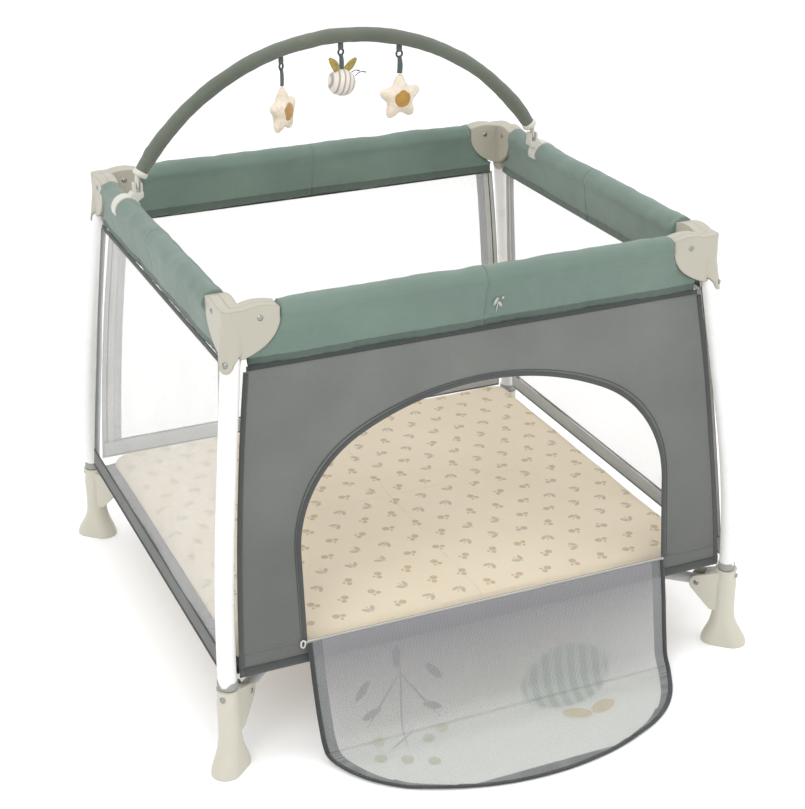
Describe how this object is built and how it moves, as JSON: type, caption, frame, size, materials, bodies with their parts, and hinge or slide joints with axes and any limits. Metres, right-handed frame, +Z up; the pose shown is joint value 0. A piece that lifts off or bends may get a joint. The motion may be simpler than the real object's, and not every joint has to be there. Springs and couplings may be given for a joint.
{
  "type": "playpen",
  "caption": "folding square playpen with splayed legs, padded rails, mesh walls, an arched door flap laid open, a floor mat and an arch of hanging toys",
  "frame": {"origin": "on the floor, under the middle of the bounding box, the laid-out door flap included", "axes": "+X across the front to the right seen from the front, +Y to the back, +Z up; the door is on the -Y side"},
  "size_m": [1.026, 1.1573, 1.0534],
  "materials": {
    "housing": "satin, fine grained, warm grey-beige",
    "tube": "satin white powder coat",
    "steel": "plain, unpolished",
    "grey_plastic": "satin light grey",
    "cover": "padded sage-green woven polyester",
    "panel": "dark grey woven polyester",
    "mesh": "fine white knitted mesh",
    "flap_mesh": "see-through grey mesh with a printed sprig",
    "mat": "padded, beige with a small print",
    "floor": "grey woven polyester",
    "bar": "padded grey-green sleeve",
    "plush": "short cream plush"
  },
  "bodies": {
    "leg_front_left": {"leg_tube_front_left": "tube", "foot_front_left": "housing", "corner_front_left": "housing", "fasteners_front_left": "steel", "front_panel": "panel", "left_wall": "mesh"},
    "leg_front_right": {"leg_tube_front_right": "tube", "foot_front_right": "housing", "corner_front_right": "housing", "fasteners_front_right": "steel", "right_wall": "mesh"},
    "leg_back_right": {"leg_tube_back_right": "tube", "foot_back_right": "housing", "corner_back_right": "housing", "fasteners_back_right": "steel"},
    "leg_back_left": {"leg_tube_back_left": "tube", "foot_back_left": "housing", "corner_back_left": "housing", "fasteners_back_left": "steel", "back_wall": "mesh"},
    "strut_front_left": {"strut_front_left": "tube"},
    "strut_front_right": {"strut_front_right": "tube"},
    "strut_back_right": {"strut_back_right": "tube"},
    "strut_back_left": {"strut_back_left": "tube"},
    "hub": {"hub": "grey_plastic", "hub_cap": "grey_plastic", "floor_sheet": "floor", "mat": "mat"},
    "front_rail_left": {"front_rail_left": "tube", "front_cover_left": "cover"},
    "front_rail_right": {"front_rail_right": "tube", "front_cover_right": "cover"},
    "back_rail_left": {"back_rail_left": "tube", "back_cover_left": "cover"},
    "back_rail_right": {"back_rail_right": "tube", "back_cover_right": "cover"},
    "left_rail_front": {"left_rail_front": "tube", "left_cover_front": "cover"},
    "left_rail_back": {"left_rail_back": "tube", "left_cover_back": "cover", "toy_clip_left": "grey_plastic"},
    "right_rail_front": {"right_rail_front": "tube", "right_cover_front": "cover"},
    "right_rail_back": {"right_rail_back": "tube", "right_cover_back": "cover", "toy_clip_right": "grey_plastic"},
    "lock_front": {"lock_front": "grey_plastic"},
    "lock_button_front": {"lock_button_front": "grey_plastic"},
    "lock_right": {"lock_right": "grey_plastic"},
    "lock_button_right": {"lock_button_right": "grey_plastic"},
    "lock_back": {"lock_back": "grey_plastic"},
    "lock_button_back": {"lock_button_back": "grey_plastic"},
    "lock_left": {"lock_left": "grey_plastic"},
    "lock_button_left": {"lock_button_left": "grey_plastic"},
    "door_flap_upper": {"door_flap_upper": "flap_mesh"},
    "door_flap_lower": {"door_flap_lower": "flap_mesh"},
    "toy_bar": {"toy_bar": "bar"},
    "toy_star_left": {"toy_star_left": "plush"},
    "toy_bee": {"toy_bee": "plush"},
    "toy_star_right": {"toy_star_right": "plush"}
  },
  "joints": [
    {"name": "fold", "type": "hinge", "parent": "leg_front_left", "child": "strut_front_left", "pos_m": [-0.43682, -0.30945, 0.12], "axis": [0.6823, -0.7311, 0], "range_deg": [0, 78], "deforming": ["front_cover_left", "front_cover_right", "back_cover_left", "back_cover_right", "left_cover_front", "left_cover_back", "right_cover_front", "right_cover_back", "front_panel", "right_wall", "back_wall", "left_wall", "mat", "floor_sheet", "toy_bar", "toy_star_left", "toy_bee", "toy_star_right", "door_flap_upper", "door_flap_lower"]},
    {"name": "hub_level", "type": "hinge", "parent": "strut_front_left", "child": "hub", "pos_m": [-0.08882, 0.01535, 0.12], "axis": [0.6823, -0.7311, 0], "range_deg": [-78, 0]},
    {"name": "strut_front_right_fold", "type": "hinge", "parent": "hub", "child": "strut_front_right", "pos_m": [0.08882, 0.01535, 0.12], "axis": [0.6823, 0.7311, 0], "range_deg": [0, 78]},
    {"name": "leg_front_right_level", "type": "hinge", "parent": "strut_front_right", "child": "leg_front_right", "pos_m": [0.43682, -0.30945, 0.12], "axis": [0.6823, 0.7311, 0], "range_deg": [-78, 0]},
    {"name": "strut_back_right_fold", "type": "hinge", "parent": "hub", "child": "strut_back_right", "pos_m": [0.08882, 0.18113, 0.12], "axis": [-0.6823, 0.7311, 0], "range_deg": [0, 78]},
    {"name": "leg_back_right_level", "type": "hinge", "parent": "strut_back_right", "child": "leg_back_right", "pos_m": [0.43682, 0.50593, 0.12], "axis": [-0.6823, 0.7311, 0], "range_deg": [-78, 0]},
    {"name": "strut_back_left_fold", "type": "hinge", "parent": "hub", "child": "strut_back_left", "pos_m": [-0.08882, 0.18113, 0.12], "axis": [-0.6823, -0.7311, 0], "range_deg": [0, 78]},
    {"name": "leg_back_left_level", "type": "hinge", "parent": "strut_back_left", "child": "leg_back_left", "pos_m": [-0.43682, 0.50593, 0.12], "axis": [-0.6823, -0.7311, 0], "range_deg": [-78, 0]},
    {"name": "front_rail_left_fold", "type": "hinge", "parent": "leg_front_left", "child": "front_rail_left", "pos_m": [-0.378, -0.29376, 0.765], "axis": [0, 1, 0], "range_deg": [0, 78]},
    {"name": "front_rail_right_fold", "type": "hinge", "parent": "leg_front_right", "child": "front_rail_right", "pos_m": [0.378, -0.29376, 0.765], "axis": [0, -1, 0], "range_deg": [0, 78]},
    {"name": "back_rail_left_fold", "type": "hinge", "parent": "leg_back_left", "child": "back_rail_left", "pos_m": [-0.378, 0.49024, 0.765], "axis": [0, 1, 0], "range_deg": [0, 78]},
    {"name": "back_rail_right_fold", "type": "hinge", "parent": "leg_back_right", "child": "back_rail_right", "pos_m": [0.378, 0.49024, 0.765], "axis": [0, -1, 0], "range_deg": [0, 78]},
    {"name": "left_rail_front_fold", "type": "hinge", "parent": "leg_front_left", "child": "left_rail_front", "pos_m": [-0.42, -0.25176, 0.765], "axis": [-1, 0, 0], "range_deg": [0, 78]},
    {"name": "left_rail_back_fold", "type": "hinge", "parent": "leg_back_left", "child": "left_rail_back", "pos_m": [-0.42, 0.44824, 0.765], "axis": [1, 0, 0], "range_deg": [0, 78]},
    {"name": "right_rail_front_fold", "type": "hinge", "parent": "leg_front_right", "child": "right_rail_front", "pos_m": [0.42, -0.25176, 0.765], "axis": [-1, 0, 0], "range_deg": [0, 78]},
    {"name": "right_rail_back_fold", "type": "hinge", "parent": "leg_back_right", "child": "right_rail_back", "pos_m": [0.42, 0.44824, 0.765], "axis": [1, 0, 0], "range_deg": [0, 78]},
    {"name": "lock_front_level", "type": "hinge", "parent": "front_rail_left", "child": "lock_front", "pos_m": [-0.03, -0.29376, 0.765], "axis": [0, 1, 0], "range_deg": [-78, 0]},
    {"name": "lock_button_front_press", "type": "slide", "parent": "lock_front", "child": "lock_button_front", "axis": [0, 0, 1], "range_m": [0, 0.004], "stiffness_N_per_m": 800},
    {"name": "lock_back_level", "type": "hinge", "parent": "back_rail_left", "child": "lock_back", "pos_m": [-0.03, 0.49024, 0.765], "axis": [0, 1, 0], "range_deg": [-78, 0]},
    {"name": "lock_button_back_press", "type": "slide", "parent": "lock_back", "child": "lock_button_back", "axis": [0, 0, 1], "range_m": [0, 0.004], "stiffness_N_per_m": 800},
    {"name": "lock_left_level", "type": "hinge", "parent": "left_rail_back", "child": "lock_left", "pos_m": [-0.42, 0.12344, 0.765], "axis": [1, 0, 0], "range_deg": [-78, 0]},
    {"name": "lock_button_left_press", "type": "slide", "parent": "lock_left", "child": "lock_button_left", "axis": [0, 0, 1], "range_m": [0, 0.004], "stiffness_N_per_m": 800},
    {"name": "lock_right_level", "type": "hinge", "parent": "right_rail_back", "child": "lock_right", "pos_m": [0.42, 0.12344, 0.765], "axis": [1, 0, 0], "range_deg": [-78, 0]},
    {"name": "lock_button_right_press", "type": "slide", "parent": "lock_right", "child": "lock_button_right", "axis": [0, 0, 1], "range_m": [0, 0.004], "stiffness_N_per_m": 800},
    {"name": "door_flap_open", "type": "hinge", "parent": "leg_front_left", "child": "door_flap_upper", "pos_m": [0, -0.34728, 0.205], "axis": [-1, 0, 0], "range_deg": [0, 172.82]},
    {"name": "door_flap_bend", "type": "hinge", "parent": "door_flap_upper", "child": "door_flap_lower", "pos_m": [0, -0.39022, 0.003], "axis": [-1, 0, 0], "range_deg": [-78, 0]},
    {"name": "toy_bar_level", "type": "hinge", "parent": "left_rail_back", "child": "toy_bar", "pos_m": [-0.397, 0.30324, 0.803], "axis": [1, 0, 0], "range_deg": [-78, 0]},
    {"name": "toy_star_left_swing", "type": "hinge", "parent": "toy_bar", "child": "toy_star_left", "pos_m": [-0.116, 0.30324, 1.02136], "axis": [0.9687, 0, 0.2484], "range_deg": [-35, 35]},
    {"name": "toy_bee_swing", "type": "hinge", "parent": "toy_bar", "child": "toy_bee", "pos_m": [0, 0.30324, 1.036], "axis": [1, 0, 0], "range_deg": [-35, 35]},
    {"name": "toy_star_right_swing", "type": "hinge", "parent": "toy_bar", "child": "toy_star_right", "pos_m": [0.116, 0.30324, 1.02136], "axis": [0.9687, 0, -0.2484], "range_deg": [-35, 35]}
  ],
  "couplings": [
    {"joint": "hub_level", "follows": "fold", "ratio": -1},
    {"joint": "strut_front_right_fold", "follows": "fold", "ratio": 1},
    {"joint": "leg_front_right_level", "follows": "fold", "ratio": -1},
    {"joint": "strut_back_right_fold", "follows": "fold", "ratio": 1},
    {"joint": "leg_back_right_level", "follows": "fold", "ratio": -1},
    {"joint": "strut_back_left_fold", "follows": "fold", "ratio": 1},
    {"joint": "leg_back_left_level", "follows": "fold", "ratio": -1},
    {"joint": "front_rail_left_fold", "follows": "fold", "ratio": 1},
    {"joint": "front_rail_right_fold", "follows": "fold", "ratio": 1},
    {"joint": "back_rail_left_fold", "follows": "fold", "ratio": 1},
    {"joint": "back_rail_right_fold", "follows": "fold", "ratio": 1},
    {"joint": "left_rail_front_fold", "follows": "fold", "ratio": 1},
    {"joint": "left_rail_back_fold", "follows": "fold", "ratio": 1},
    {"joint": "right_rail_front_fold", "follows": "fold", "ratio": 1},
    {"joint": "right_rail_back_fold", "follows": "fold", "ratio": 1},
    {"joint": "lock_front_level", "follows": "fold", "ratio": -1},
    {"joint": "lock_back_level", "follows": "fold", "ratio": -1},
    {"joint": "lock_left_level", "follows": "fold", "ratio": -1},
    {"joint": "lock_right_level", "follows": "fold", "ratio": -1},
    {"joint": "door_flap_bend", "follows": "door_flap_open", "ratio": -0.45134},
    {"joint": "toy_bar_level", "follows": "fold", "ratio": -1}
  ]
}
